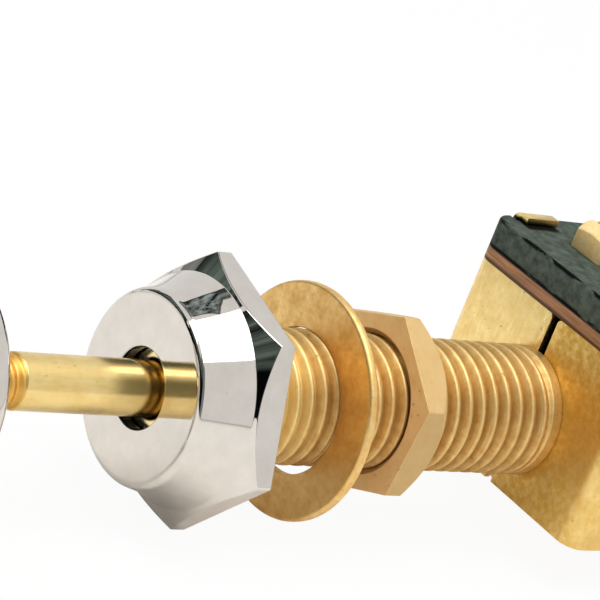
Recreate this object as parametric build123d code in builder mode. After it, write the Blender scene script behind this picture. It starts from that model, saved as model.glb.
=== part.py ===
from build123d import *
from math import cos, radians
import os

# A push-pull switch for a panel. A plunger slides in a threaded stem, and the stem carries a folded
# brass case with two terminals. Millimetres. The origin is on the stem's axis in the panel's front
# face, where the back of the face nut lies. +Y runs inwards, away from the knob, +X across the case
# and +Z up through the terminal board. The plunger is drawn pulled out, which is on.

# Threaded stem
stem_d = 12.7  # a half-inch thread over its crests
stem_grip = 38.4  # from the panel's front face to the case
nose_gap = 0.2  # from the stem's nose to the wall of the face nut in front of it
stem_nose_edge = 0.7
spigot_d = 9.0  # the stem's end, riveted through the case
lip_d = 11.0  # the spigot's end after riveting
lip_length = 0.9
lip_flat = 0.3  # upright edge of the riveted lip
thread_gap = 0.05  # between a thread's crests and the nut round them
seat_gap = 0.03  # between a fixed pin and its hole

# Plunger
shaft_d = 5.16
shaft_gap = 0.05  # running clearance in the stem, all round
neck_d = 4.83  # threaded neck that takes the knob
neck_start = 19.1  # from the panel's front face out to the neck's shoulder
shoulder_length = 0.5  # cone between the neck and the rod
neck_in_knob = 5.4
shaft_edge = 0.35
travel = 12.7
stop_gap = 0.1  # between the buffer and the stem at the end of the pull
rear_room = 0.4  # between the shaft and the rear wall when pushed in

# Knob
knob_d = 20.4
knob_back = 24.9  # from the panel's front face out to the back of the hub
hub_d = 8.8
hub_length = 0.9
knob_flare = 2.8  # depth of the cone from the hub out to the rim
rim_width = 3.2
knob_face_d = 14.0  # flat of the front, inside a broad bevel
knob_bevel = 1.0  # depth of that bevel
knob_edge = 0.5
neck_room = 0.6  # left in the knob's hole in front of the neck

# Face nut
face_nut_flats = 22.2
face_nut_height = 7.8
face_nut_turn = 107.3  # degrees from +X to a corner
face_nut_corner = 1.55  # length left of each corner's edge
face_nut_shoulder = 3.05  # height where the boss starts
face_nut_shoulder_d = 21.5
face_nut_hollow = 0.15  # inward bow of the boss's side
face_nut_disc_d = 17.8
face_nut_edge = 0.4
face_nut_hole_d = 7.4
face_nut_lip = 1.2  # wall in front of the stem
nut_lead = 0.5  # countersink at the mouth of a nut's thread

# Panel washer
washer_d = 22.3
washer_slack = 0.9  # how much wider its hole is than the stem
washer_thickness = 1.0
washer_place = 10.0  # from the panel's front face
washer_edge = 0.2
washer_play = 0.05  # left between the washer and the top of the stem it hangs on

# Jam nut
jam_flats = 16.6
jam_height = 3.3
jam_place = 18.36  # from the panel's front face
jam_turn = 82.9  # degrees from +X to a corner
jam_corner = 1.8  # length left of each corner's edge
jam_face_d = 16.5  # round face inside the chamfered corners

# Case, folded from one sheet
sheet = 0.6
bend_r = 2.0  # outer radius of the folds
case_w = 26.6
case_top = 10.3  # above the stem's axis
case_bottom = -7.9
seam = 0.95  # gap between the two front flaps
seam_corner = 0.5
floor_relief = 0.6  # notches beside the floor's fold
floor_gap = 0.3  # from the floor's free edges to the flaps and walls
tab_length = 4.2
tab_inset = 2.8  # from the case's front or back to a tab
tab_reach = 2.1  # from the side wall's outside over the board
tab_bend_r = 1.1
tab_lift = 0.1  # left between a tab and the board after it springs back

# Insulator and terminal board
insulator_thickness = 1.5
board_thickness = 2.95
board_edge = 0.2
notch_gap = 0.4  # round each tab, in the board and its insulator

# Terminals
head_gap = 1.6  # between the two screws' heads
terminal_place = 9.3  # behind the case's front
stud_d = 5.2
stud_head_d = 7.0
stud_head_height = 0.9
stud_floor = 0.7  # wall left under the tapped hole
screw_d = 3.5
screw_tip_gap = 0.4  # from the screw's tip to the floor of its hole
screw_flats = 7.4
screw_head_height = 2.4
screw_crown_d = 7.0  # round top inside the chamfered corners
screw_crown_drop = 0.45  # the chamfer's fall at the corners
slot_width = 0.95
slot_depth = 0.9

# Contact carrier, bridge and spring
carrier_side_gap = 0.4
carrier_floor_gap = 0.5
carrier_top_gap = 0.35  # under the contact heads
carrier_flange = 7.0  # thickness of the wide upper part
carrier_edge = 0.5
keel_w = 12.0
bridge_length = 17.0
bridge_thickness = 0.8
bridge_gap = 0.06  # between the bridge and the contact heads
bridge_ramp = 1.0  # width of the sloping edge along each side
bridge_land = 0.2  # flat left between the spring and each ramp
bridge_ramp_drop = 0.5
bridge_slot_gap = 0.2
bridge_sink = 1.9  # room below the bridge for it to give
spring_d = 4.2
spring_wire = 0.55
spring_turns = 3
pocket_gap = 0.25  # round the spring
pocket_floor = 0.8  # wall between the spring's pocket and the shaft

# Clips and buffer on the shaft
clip_thickness = 0.6
clip_d = 8.4
clip_mouth = 3.0
groove_d = 4.0
buffer_thickness = 0.8
buffer_d = 9.0
shaft_tail = 1.1  # behind the rear clip


def across(y, x=0, z=0):
    """The plane square to the stem at y. It faces the knob, with +X and +Z as its own axes."""
    return Plane(origin=(x, y, z), x_dir=(1, 0, 0), z_dir=(0, -1, 0))


def corner_radius(flats):
    """Radius to the corners of a hexagon of this size across its flats."""
    return flats / 2 / cos(radians(30))


def save(piece, name):
    """Label a finished piece and write it."""
    piece.part.label = name
    export_step(piece.part, f"parts/{name}.step")


# Places along the stem that follow from the sizes above
stem_nose = face_nut_height - face_nut_lip - nose_gap
knob_hole_depth = neck_in_knob + neck_room
lip_end = stem_grip + sheet + lip_length
buffer_front = lip_end + stop_gap
front_clip = buffer_front + buffer_thickness
carrier_front = front_clip + clip_thickness
terminal_y = stem_grip + terminal_place
carrier_length = 2 * (terminal_y - carrier_front)
rear_clip = carrier_front + carrier_length
shaft_end = rear_clip + clip_thickness + shaft_tail
case_back = shaft_end + travel + rear_room + sheet
case_depth = case_back - stem_grip
case_middle = (stem_grip + case_back) / 2
floor_front = stem_grip + sheet + floor_gap
floor_rear = case_back - bend_r - floor_relief
tab_fronts = stem_grip + tab_inset, case_back - tab_inset - tab_length

# Heights and widths that follow from the sizes above
case_h = case_top - case_bottom
wall_inside = case_w / 2 - sheet
floor_w = case_w - 2 * bend_r - 2 * floor_relief
bridge_width = spring_d + 2 * (bridge_land + bridge_ramp)
board_bottom = case_top + insulator_thickness
board_top = board_bottom + board_thickness
tab_under = board_top + tab_lift
contact_face = case_top - stud_head_height
stud_hole_depth = board_top - contact_face - stud_floor
screw_length = stud_hole_depth - screw_tip_gap
bridge_top = contact_face - bridge_gap
bridge_bottom = bridge_top - bridge_thickness
carrier_top = contact_face - carrier_top_gap
carrier_bottom = case_bottom + sheet + carrier_floor_gap
slot_floor = bridge_bottom - bridge_sink
pocket_bottom = shaft_d / 2 + pocket_floor
washer_hole_d = stem_d + washer_slack
washer_sag = washer_slack / 2 - washer_play
terminal_x = corner_radius(screw_flats) + head_gap / 2
terminals = {"left": -terminal_x, "right": terminal_x}

os.makedirs("parts", exist_ok=True)

# Knob: a short hub and a conical back under a broad rim, with a bevelled front
with BuildPart() as knob:
    flare_start = -knob_back - hub_length
    rim_back = flare_start - knob_flare
    rim_front = rim_back - rim_width
    with BuildSketch(Plane.XY):
        with BuildLine():
            Polyline(
                (0, -knob_back),
                (hub_d / 2, -knob_back),
                (hub_d / 2, flare_start),
                (knob_d / 2, rim_back),
                (knob_d / 2, rim_front),
                (knob_face_d / 2, rim_front - knob_bevel),
                (0, rim_front - knob_bevel),
                close=True,
            )
        make_face()
    revolve(axis=Axis.Y)
    circles = knob.edges().filter_by(GeomType.CIRCLE)
    chamfer(circles.filter_by_position(Axis.Y, rim_front, rim_back), knob_edge)
    with BuildSketch(across(-knob_back)):
        Circle(neck_d / 2 + thread_gap)
    extrude(amount=knob_hole_depth, mode=Mode.SUBTRACT)
save(knob, "knob")

# Plunger shaft: a rod with a threaded neck in front and two clip grooves behind
with BuildPart() as plunger_shaft:
    neck_tip = knob_back + neck_in_knob
    with BuildSketch(Plane.XY):
        with BuildLine():
            Polyline(
                (0, -neck_tip),
                (neck_d / 2 - shaft_edge, -neck_tip),
                (neck_d / 2, shaft_edge - neck_tip),
                (neck_d / 2, -neck_start),
                (shaft_d / 2, shoulder_length - neck_start),
                (shaft_d / 2, shaft_end - shaft_edge),
                (shaft_d / 2 - shaft_edge, shaft_end),
                (0, shaft_end),
                close=True,
            )
        make_face()
    revolve(axis=Axis.Y)
    for groove in (front_clip, rear_clip):
        with BuildSketch(across(groove)):
            Circle(shaft_d / 2)
            Circle(groove_d / 2, mode=Mode.SUBTRACT)
        extrude(amount=-clip_thickness, mode=Mode.SUBTRACT)
save(plunger_shaft, "plunger_shaft")

# Stem: a tube with a chamfered nose, its spigot riveted over inside the case's front flaps
with BuildPart() as stem:
    with BuildSketch(Plane.XY):
        with BuildLine():
            Polyline(
                (shaft_d / 2 + shaft_gap, -stem_nose),
                (stem_d / 2 - stem_nose_edge, -stem_nose),
                (stem_d / 2, stem_nose_edge - stem_nose),
                (stem_d / 2, stem_grip),
                (spigot_d / 2, stem_grip),
                (spigot_d / 2, stem_grip + sheet),
                (lip_d / 2, stem_grip + sheet),
                (lip_d / 2, stem_grip + sheet + lip_flat),
                (spigot_d / 2, lip_end),
                (shaft_d / 2 + shaft_gap, lip_end),
                close=True,
            )
        make_face()
    revolve(axis=Axis.Y)
save(stem, "stem")

# Face nut: a hexagon whose corners run out under a slightly hollow boss with a flat front
with BuildPart() as face_nut:
    with BuildSketch(across(0)):
        RegularPolygon(corner_radius(face_nut_flats), 6, rotation=face_nut_turn)
    extrude(amount=face_nut_height)
    with BuildSketch(Plane.XY):
        with BuildLine():
            corner = Polyline(
                (0, 0),
                (corner_radius(face_nut_flats), 0),
                (corner_radius(face_nut_flats), -face_nut_corner),
                (face_nut_shoulder_d / 2, -face_nut_shoulder),
            )
            disc_edge = (face_nut_disc_d / 2, -face_nut_height)
            SagittaArc(corner @ 1, disc_edge, face_nut_hollow)
            Polyline(disc_edge, (0, -face_nut_height), corner @ 0)
        make_face()
    revolve(axis=Axis.Y, mode=Mode.INTERSECT)
    chamfer(face_nut.edges().filter_by(GeomType.CIRCLE).group_by(Axis.Y)[0], face_nut_edge)
    with BuildSketch(Plane.XY):
        bore_r = stem_d / 2 + thread_gap
        with BuildLine():
            Polyline(
                (0, 0),
                (bore_r + nut_lead, 0),
                (bore_r, -nut_lead),
                (bore_r, face_nut_lip - face_nut_height),
                (face_nut_hole_d / 2, face_nut_lip - face_nut_height),
                (face_nut_hole_d / 2, -face_nut_height),
                (0, -face_nut_height),
                close=True,
            )
        make_face()
    revolve(axis=Axis.Y, mode=Mode.SUBTRACT)
save(face_nut, "face_nut")

# Panel washer: it hangs on the top of the stem
with BuildPart() as panel_washer:
    with BuildSketch(across(washer_place, z=-washer_sag)):
        Circle(washer_d / 2)
        Circle(washer_hole_d / 2, mode=Mode.SUBTRACT)
    extrude(amount=-washer_thickness)
    rims = panel_washer.edges().filter_by(GeomType.CIRCLE).group_by(SortBy.RADIUS)
    chamfer(rims[-1], washer_edge)
save(panel_washer, "panel_washer")

# Jam nut: flat towards the panel, its corners turned away behind
with BuildPart() as jam_nut:
    jam_back = jam_place + jam_height
    with BuildSketch(across(jam_place)):
        RegularPolygon(corner_radius(jam_flats), 6, rotation=jam_turn)
    extrude(amount=-jam_height)
    with BuildSketch(Plane.XY):
        with BuildLine():
            Polyline(
                (0, jam_place),
                (corner_radius(jam_flats), jam_place),
                (corner_radius(jam_flats), jam_place + jam_corner),
                (jam_face_d / 2, jam_back),
                (0, jam_back),
                close=True,
            )
        make_face()
    revolve(axis=Axis.Y, mode=Mode.INTERSECT)
    with BuildSketch(Plane.XY):
        with BuildLine():
            Polyline(
                (0, jam_place),
                (stem_d / 2 + thread_gap + nut_lead, jam_place),
                (stem_d / 2 + thread_gap, jam_place + nut_lead),
                (stem_d / 2 + thread_gap, jam_back - nut_lead),
                (stem_d / 2 + thread_gap + nut_lead, jam_back),
                (0, jam_back),
                close=True,
            )
        make_face()
    revolve(axis=Axis.Y, mode=Mode.SUBTRACT)
save(jam_nut, "jam_nut")

# Housing: one sheet folded round the vertical corners, its ends meeting in a seam at the stem
with BuildPart() as housing:
    with BuildSketch(Plane.XY.offset(case_bottom)):
        with Locations((0, case_middle)):
            walls = RectangleRounded(case_w, case_depth, bend_r)
        offset(walls, -sheet, mode=Mode.SUBTRACT)
    extrude(amount=case_h)
    # the seam, and the spigot's hole across it
    with BuildSketch(across(stem_grip)):
        with Locations((0, (case_top + case_bottom) / 2)):
            Rectangle(seam, case_h)
        Circle(spigot_d / 2 + seat_gap)
    extrude(amount=-sheet, mode=Mode.SUBTRACT)
    seam_ends = housing.edges().filter_by(Axis.Y).filter_by_position(Axis.X, -seam, seam)
    fillet(seam_ends.filter_by_position(Axis.Z, case_top - sheet, case_top + sheet), seam_corner)
    # room in the rear wall for the floor's fold
    with BuildSketch(across(case_back)):
        with Locations((0, case_bottom + bend_r / 2)):
            Rectangle(floor_w + 2 * floor_relief, bend_r)
    extrude(amount=sheet, mode=Mode.SUBTRACT)
    # the floor, folded forwards from the rear wall
    with BuildSketch(Plane.YZ):
        with BuildLine():
            fold = JernArc((case_back, case_bottom + bend_r), (0, -1), bend_r, -90)
            underside = Polyline(
                fold @ 1,
                (floor_front, case_bottom),
                (floor_front, case_bottom + sheet),
                (case_back - bend_r, case_bottom + sheet),
            )
            inner_fold = JernArc(underside @ 1, (1, 0), bend_r - sheet, 90)
            Line(inner_fold @ 1, fold @ 0)
        make_face()
    extrude(amount=floor_w / 2, both=True)
    # the floor's full width, which starts in front of its fold
    with BuildSketch(Plane.XY.offset(case_bottom)):
        with Locations((0, (floor_front + floor_rear) / 2)):
            floor = Rectangle(2 * (wall_inside - floor_gap), floor_rear - floor_front)
        fillet(floor.vertices().group_by(Axis.Y)[0], bend_r)
    extrude(amount=sheet)
    # tabs of the side walls, folded over the board
    for tab_front in tab_fronts:
        with BuildSketch(across(tab_front)):
            with BuildLine():
                rise = Line((case_w / 2, case_top), (case_w / 2, tab_under + sheet - tab_bend_r))
                bend = JernArc(rise @ 1, (0, 1), tab_bend_r, 90)
                tongue = Polyline(
                    bend @ 1,
                    (case_w / 2 - tab_reach, tab_under + sheet),
                    (case_w / 2 - tab_reach, tab_under),
                    (case_w / 2 - tab_bend_r, tab_under),
                )
                inner_bend = JernArc(tongue @ 1, (1, 0), tab_bend_r - sheet, -90)
                Polyline(inner_bend @ 1, (wall_inside, case_top), rise @ 0)
            make_face()
            mirror(about=Plane.YZ)
        extrude(amount=-tab_length)
save(housing, "housing")


def board_outline():
    """The plan of the insulator and the board: the case's own, with a notch round each tab."""
    with Locations((0, case_middle)):
        RectangleRounded(case_w, case_depth, bend_r)
    tab_middles = [(x, y + tab_length / 2) for x in (-case_w / 2, case_w / 2) for y in tab_fronts]
    with Locations(*tab_middles):
        Rectangle(2 * (sheet + notch_gap), tab_length + 2 * notch_gap, mode=Mode.SUBTRACT)


# Insulator sheet: fibre, resting on the case's walls
with BuildPart() as insulator_sheet:
    with BuildSketch(Plane.XY.offset(case_top)):
        board_outline()
        with Locations(*[(x, terminal_y) for x in terminals.values()]):
            Circle(stud_d / 2 + seat_gap, mode=Mode.SUBTRACT)
    extrude(amount=insulator_thickness)
save(insulator_sheet, "insulator_sheet")

# Terminal board: phenolic, clenched on the insulator by the case's tabs
with BuildPart() as terminal_board:
    with BuildSketch(Plane.XY.offset(board_bottom)):
        board_outline()
    extrude(amount=board_thickness)
    chamfer(terminal_board.faces().sort_by(Axis.Z)[-1].edges(), board_edge)
    with BuildSketch(Plane.XY.offset(board_bottom)):
        with Locations(*[(x, terminal_y) for x in terminals.values()]):
            Circle(stud_d / 2 + seat_gap)
    extrude(amount=board_thickness, mode=Mode.SUBTRACT)
save(terminal_board, "terminal_board")

for side, x in terminals.items():
    # Contact stud: a tapped post through board and insulator, with a flat contact head below
    with BuildPart() as contact_stud:
        with BuildSketch(Plane.XY.offset(contact_face)):
            with Locations((x, terminal_y)):
                Circle(stud_head_d / 2)
        extrude(amount=stud_head_height)
        with BuildSketch(Plane.XY.offset(case_top)):
            with Locations((x, terminal_y)):
                Circle(stud_d / 2)
        extrude(amount=insulator_thickness + board_thickness)
        with BuildSketch(Plane.XY.offset(board_top)):
            with Locations((x, terminal_y)):
                Circle(screw_d / 2 + thread_gap)
        extrude(amount=-stud_hole_depth, mode=Mode.SUBTRACT)
    save(contact_stud, f"contact_stud_{side}")

    # Terminal screw: a slotted hexagon head with its corners turned off
    with BuildPart() as terminal_screw:
        head_top = board_top + screw_head_height
        with BuildSketch(Plane.XY.offset(board_top)):
            with Locations((x, terminal_y)):
                RegularPolygon(corner_radius(screw_flats), 6)
        extrude(amount=screw_head_height)
        with BuildSketch(across(terminal_y, x, board_top)):
            with BuildLine():
                Polyline(
                    (0, 0),
                    (corner_radius(screw_flats), 0),
                    (corner_radius(screw_flats), screw_head_height - screw_crown_drop),
                    (screw_crown_d / 2, screw_head_height),
                    (0, screw_head_height),
                    close=True,
                )
            make_face()
        revolve(axis=Axis((x, terminal_y, 0), (0, 0, 1)), mode=Mode.INTERSECT)
        with BuildSketch(Plane.XY.offset(head_top)):
            with Locations((x, terminal_y)):
                Rectangle(2 * screw_flats, slot_width)
        extrude(amount=-slot_depth, mode=Mode.SUBTRACT)
        with BuildSketch(Plane.XY.offset(board_top)):
            with Locations((x, terminal_y)):
                Circle(screw_d / 2)
        extrude(amount=-screw_length)
    save(terminal_screw, f"terminal_screw_{side}")

# Contact carrier: a moulded block on the shaft, wide above and keeled below
with BuildPart() as contact_carrier:
    flange_w = 2 * (wall_inside - carrier_side_gap)
    with BuildSketch(across(carrier_front)):
        with Locations((0, (carrier_top + carrier_bottom) / 2)):
            Rectangle(keel_w, carrier_top - carrier_bottom)
        with Locations((0, carrier_top - carrier_flange / 2)):
            Rectangle(flange_w, carrier_flange)
    extrude(amount=-carrier_length)
    fillet(contact_carrier.edges().filter_by(Axis.Y), carrier_edge)
    with BuildSketch(across(carrier_front)):
        Circle(shaft_d / 2 + seat_gap)
    extrude(amount=-carrier_length, mode=Mode.SUBTRACT)
    # slot for the bridge and pocket for its spring
    with BuildSketch(Plane.XY.offset(slot_floor)):
        with Locations((0, terminal_y)):
            Rectangle(bridge_length + 2 * bridge_slot_gap, bridge_width + 2 * bridge_slot_gap)
    extrude(amount=carrier_top - slot_floor, mode=Mode.SUBTRACT)
    with BuildSketch(Plane.XY.offset(pocket_bottom)):
        with Locations((0, terminal_y)):
            Circle(spring_d / 2 + pocket_gap)
    extrude(amount=slot_floor - pocket_bottom, mode=Mode.SUBTRACT)
save(contact_carrier, "contact_carrier")

# Contact bridge: a strip with its long edges turned down, so that it rides over the contact heads
with BuildPart() as contact_bridge:
    flat = bridge_width / 2 - bridge_ramp
    with BuildSketch(Plane.YZ):
        with BuildLine():
            Polyline(
                (terminal_y - flat, bridge_top),
                (terminal_y + flat, bridge_top),
                (terminal_y + bridge_width / 2, bridge_top - bridge_ramp_drop),
                (terminal_y + bridge_width / 2, bridge_bottom - bridge_ramp_drop),
                (terminal_y + flat, bridge_bottom),
                (terminal_y - flat, bridge_bottom),
                (terminal_y - bridge_width / 2, bridge_bottom - bridge_ramp_drop),
                (terminal_y - bridge_width / 2, bridge_top - bridge_ramp_drop),
                close=True,
            )
        make_face()
    extrude(amount=bridge_length / 2, both=True)
save(contact_bridge, "contact_bridge")

# Bridge spring: a coil standing in the carrier's pocket, its wire drawn square
with BuildPart() as bridge_spring:
    coil_r = (spring_d - spring_wire) / 2
    coil_rise = bridge_bottom - pocket_bottom - spring_wire - 2 * seat_gap
    coil_start = (0, terminal_y, pocket_bottom + spring_wire / 2 + seat_gap)
    with BuildLine():
        coil = Helix(coil_rise / spring_turns, coil_rise, coil_r, center=coil_start)
    with BuildSketch(Plane(origin=coil @ 0, x_dir=(1, 0, 0), z_dir=coil % 0)):
        Rectangle(spring_wire, spring_wire)
    sweep(path=coil, is_frenet=True)
save(bridge_spring, "bridge_spring")

# Clips: spring-steel rings with an open mouth, in the shaft's grooves
for place, clip_front in {"front": front_clip, "rear": rear_clip}.items():
    with BuildPart() as carrier_clip:
        with BuildSketch(across(clip_front)):
            Circle(clip_d / 2)
            Circle(groove_d / 2 + seat_gap, mode=Mode.SUBTRACT)
            with Locations((0, -clip_d / 2)):
                Rectangle(clip_mouth, clip_d, mode=Mode.SUBTRACT)
        extrude(amount=-clip_thickness)
    save(carrier_clip, f"carrier_clip_{place}")

# Buffer washer: fibre, between the front clip and the riveted end of the stem
with BuildPart() as buffer_washer:
    with BuildSketch(across(buffer_front)):
        Circle(buffer_d / 2)
        Circle(shaft_d / 2 + seat_gap, mode=Mode.SUBTRACT)
    extrude(amount=-buffer_thickness)
save(buffer_washer, "buffer_washer")
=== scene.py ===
# %% [markdown]
# # A push-pull panel switch
# The real switch is a chromed knob on a brass rod. The rod slides in a threaded brass stem that is
# riveted into a folded brass case, and a dark terminal board closes the case. The solids of every
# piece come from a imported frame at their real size, so this lesson adds what those solids leave out:
# threads, eased edges, and the finish of each surface. Shapes are worked out in millimetres with
# numpy, because whole arrays are quicker and shorter than loops over vertices.

import bmesh
import bpy
import numpy as np
from mathutils import Matrix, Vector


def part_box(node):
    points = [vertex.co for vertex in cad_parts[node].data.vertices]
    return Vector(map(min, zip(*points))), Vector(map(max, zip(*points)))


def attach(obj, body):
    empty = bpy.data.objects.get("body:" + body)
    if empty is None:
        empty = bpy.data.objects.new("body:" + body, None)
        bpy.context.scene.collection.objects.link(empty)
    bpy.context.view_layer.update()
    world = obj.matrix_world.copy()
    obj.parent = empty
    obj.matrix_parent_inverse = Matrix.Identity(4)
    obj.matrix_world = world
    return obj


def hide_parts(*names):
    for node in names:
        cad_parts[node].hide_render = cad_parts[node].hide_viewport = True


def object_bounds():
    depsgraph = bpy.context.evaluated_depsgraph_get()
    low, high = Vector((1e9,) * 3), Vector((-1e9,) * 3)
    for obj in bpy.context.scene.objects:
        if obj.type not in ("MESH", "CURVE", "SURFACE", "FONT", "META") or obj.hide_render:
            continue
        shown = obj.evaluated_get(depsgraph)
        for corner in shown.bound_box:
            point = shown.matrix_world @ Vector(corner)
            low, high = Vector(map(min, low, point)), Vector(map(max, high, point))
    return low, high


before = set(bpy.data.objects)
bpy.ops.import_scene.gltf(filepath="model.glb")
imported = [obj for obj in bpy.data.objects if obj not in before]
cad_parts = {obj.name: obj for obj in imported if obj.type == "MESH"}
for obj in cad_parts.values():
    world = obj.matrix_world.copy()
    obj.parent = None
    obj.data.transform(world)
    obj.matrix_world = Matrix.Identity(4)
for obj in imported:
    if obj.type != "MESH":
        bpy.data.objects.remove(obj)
cad_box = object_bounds()
MM = 0.001


def sides(node):
    """Lowest and highest corner of one of the frame's nodes, in millimetres."""
    return [np.array(corner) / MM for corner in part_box(node)]


print("nodes:", len(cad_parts), "box in mm:", [np.round(np.array(c) / MM, 2) for c in cad_box])

# %% [markdown]
# ## The camera
# The photograph looks at the knob's end from the right and a little from above, with a long lens and
# the camera rolled, so that the stem lies almost level in the picture. A camera can be turned with
# angles or aimed with a constraint. Here its three axes are worked out from an azimuth, an elevation
# and a roll, because those are the words a photographer would use.

# %% Camera
AZIMUTH, ELEVATION, ROLL = 47.39, 19.38, 21.57
AIM = np.array((-3.84, 9.90, 8.04))
DISTANCE = 305.5
LENS, SENSOR = 199.3, 36.0


def beam(azimuth, elevation):
    """The unit direction (sin a cos e, -cos a cos e, sin e) of an azimuth a and an elevation e.

    Both are in degrees, and the azimuth is counted from -Y towards +X."""
    a, e = np.radians(azimuth), np.radians(elevation)
    return np.stack(np.broadcast_arrays(np.sin(a) * np.cos(e), -np.cos(a) * np.cos(e), np.sin(e)), -1)


roll = np.radians(ROLL)
towards = beam(AZIMUTH, ELEVATION)
level = beam(AZIMUTH + 90, 0)
upright = np.cross(towards, level)
across = np.cos(roll) * level + np.sin(roll) * upright
above = np.cos(roll) * upright - np.sin(roll) * level

camera = bpy.data.objects.new("camera", bpy.data.cameras.new("camera"))
bpy.context.scene.collection.objects.link(camera)
camera.data.lens = LENS
camera.data.sensor_width = SENSOR
camera.data.clip_start = 10 * MM
camera.matrix_world = Matrix(np.stack([across, above, towards], 1).tolist()).to_4x4()
camera.location = (AIM + DISTANCE * towards) * MM
bpy.context.scene.camera = camera
bpy.context.scene.view_settings.view_transform = "Standard"
print("camera at", np.round(np.array(camera.location) / MM, 1), "mm")

# %% [markdown]
# ## Colours and nodes
# Colours are written as sRGB hex values, which is how a screen shows them. Shaders work in linear
# light, so one function converts them. One more function adds a node with its settings and links,
# which keeps each material short enough to read as a recipe.

# %% Helpers for shaders


def linear(colour):
    """An sRGB hex colour as linear RGBA: c / 12.92 in the dark, ((c + 0.055) / 1.055) ** 2.4 above."""
    srgb = np.array([int(colour[i:i + 2], 16) for i in (1, 3, 5)]) / 255
    light = np.where(srgb <= 0.04045, srgb / 12.92, ((srgb + 0.055) / 1.055) ** 2.4)
    return (*light.tolist(), 1.0)


def add(tree, kind, links={}, values={}, **settings):
    """One node: its own settings, the values of its sockets, and the sockets that feed it."""
    node = tree.nodes.new("ShaderNode" + kind)
    for name, value in settings.items():
        setattr(node, name, value)
    for socket, value in values.items():
        node.inputs[socket].default_value = value
    for socket, source in links.items():
        tree.links.new(source, node.inputs[socket])
    return node


def blank(name):
    """A new material and its emptied node tree."""
    material = bpy.data.materials.new(name)
    material.use_nodes = True
    material.node_tree.nodes.clear()
    return material, material.node_tree


def per(size):
    """The scale of a pattern whose features are this many millimetres across."""
    return 1 / (size * MM)


def blots(tree, place, size, least, most, detail=4.0):
    """Noise with features of a size in millimetres, as a share that rises from 0 to 1 between two levels."""
    noise = add(
        tree, "TexNoise", {"Vector": place}, {"Scale": per(size), "Detail": detail, "Roughness": 0.6}
    )
    limits = {"From Min": least, "From Max": most}
    return add(tree, "MapRange", {"Value": noise.outputs[0]}, limits).outputs[0]


print("white is", linear("#ffffff")[0], "and middle grey", round(linear("#808080")[0], 3))

# %% [markdown]
# ## The studio
# The photograph has a white ground and soft light from above. A pale floor lies just under the switch,
# so that mirrors show its shadow there. The camera meets the floor and the world as nearly plain white,
# mirrors meet them as partly so, and all other rays meet them as ordinary pale surfaces. The ground is
# then white without more light on the brass.

# %% Floor and world
FLOOR_GAP = 0.5  # from the lowest point of the switch down to the floor
FLOOR_HALF = 2500.0
EYE_SHARE, MIRROR_SHARE = 0.94, 0.05  # how plain a white the floor is to the camera and in mirrors
ROOM_LIGHT, ROOM_MIRROR = 0.5, 0.7  # the world's strength, and its share of plain white in mirrors

floor_z = cad_box[0][2] / MM - FLOOR_GAP
corners = np.array([(-1, -1, 0), (1, -1, 0), (1, 1, 0), (-1, 1, 0)]) * FLOOR_HALF + (0, 0, floor_z)
mesh = bpy.data.meshes.new("floor")
mesh.from_pydata((corners * MM).tolist(), [], [(0, 1, 2, 3)])
floor = bpy.data.objects.new("floor", mesh)
bpy.context.scene.collection.objects.link(floor)


def seen(tree, eye, mirror):
    """How plain a white a ray meets: a share for the camera and glass, one for mirrors, else none."""
    path = add(tree, "LightPath").outputs
    links = {0: path["Is Camera Ray"], 1: path["Is Transmission Ray"]}
    direct = add(tree, "Math", links, operation="MAXIMUM")
    plain = add(tree, "Math", {0: direct.outputs[0]}, {1: eye}, operation="MULTIPLY")
    links = {0: path["Is Glossy Ray"], 2: plain.outputs[0]}
    return add(tree, "Math", links, {1: mirror}, operation="MULTIPLY_ADD").outputs[0]


material, tree = blank("painted_floor")
paint = add(tree, "BsdfDiffuse", values={"Color": linear("#f6f5f3")})
white = add(tree, "Emission", values={"Color": linear("#ffffff"), "Strength": 1.0})
share = seen(tree, EYE_SHARE, MIRROR_SHARE)
shown = add(tree, "MixShader", {0: share, 1: paint.outputs[0], 2: white.outputs[0]})
add(tree, "OutputMaterial", {"Surface": shown.outputs[0]})
floor.data.materials.append(material)

world = bpy.data.worlds.new("studio")
world.use_nodes = True
tree = world.node_tree
tree.nodes.clear()
room = add(tree, "Background", values={"Color": linear("#f7f6f4"), "Strength": ROOM_LIGHT})
white = add(tree, "Background", values={"Color": linear("#ffffff"), "Strength": 1.0})
share = seen(tree, 1.0, ROOM_MIRROR)
shown = add(tree, "MixShader", {0: share, 1: room.outputs[0], 2: white.outputs[0]})
add(tree, "OutputWorld", {"Surface": shown.outputs[0]})
bpy.context.scene.world = world
print("floor at", round(floor_z, 1), "mm")

# %% [markdown]
# ## Soft boxes
# Polished metal shows its surroundings, so its look is made by what stands round it. The photograph's
# chrome has a white patch and its rod a cream streak, which are lamps seen in a mirror. A lit plane would
# give them too, but an area lamp is quicker to render with little noise. So the studio has a large soft box
# above and a small one in front.

# %% Soft boxes
MIDDLE = np.array((0, 10.0, 0))  # what the lamps face
LAMP_POWER = 4  # watts for each square metre of an area lamp that a mirror shows as plain white


def soft_box(name, azimuth, elevation, distance, size, glow):
    """A square lamp that faces the switch. Its glow is how bright a mirror shows it, where 1 is white."""
    lamp = bpy.data.objects.new(name, bpy.data.lights.new(name, "AREA"))
    lamp.data.shape = "SQUARE"
    lamp.data.size = size * MM
    lamp.data.energy = LAMP_POWER * glow * (size * MM) ** 2
    out = beam(azimuth, elevation)
    side = np.cross((0, 1, 0) if abs(out[2]) > 0.9 else (0, 0, 1), out)
    side = side / np.linalg.norm(side)
    lamp.matrix_world = Matrix(np.stack([side, np.cross(out, side), out], 1).tolist()).to_4x4()
    lamp.location = (MIDDLE + distance * out) * MM
    bpy.context.scene.collection.objects.link(lamp)


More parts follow.
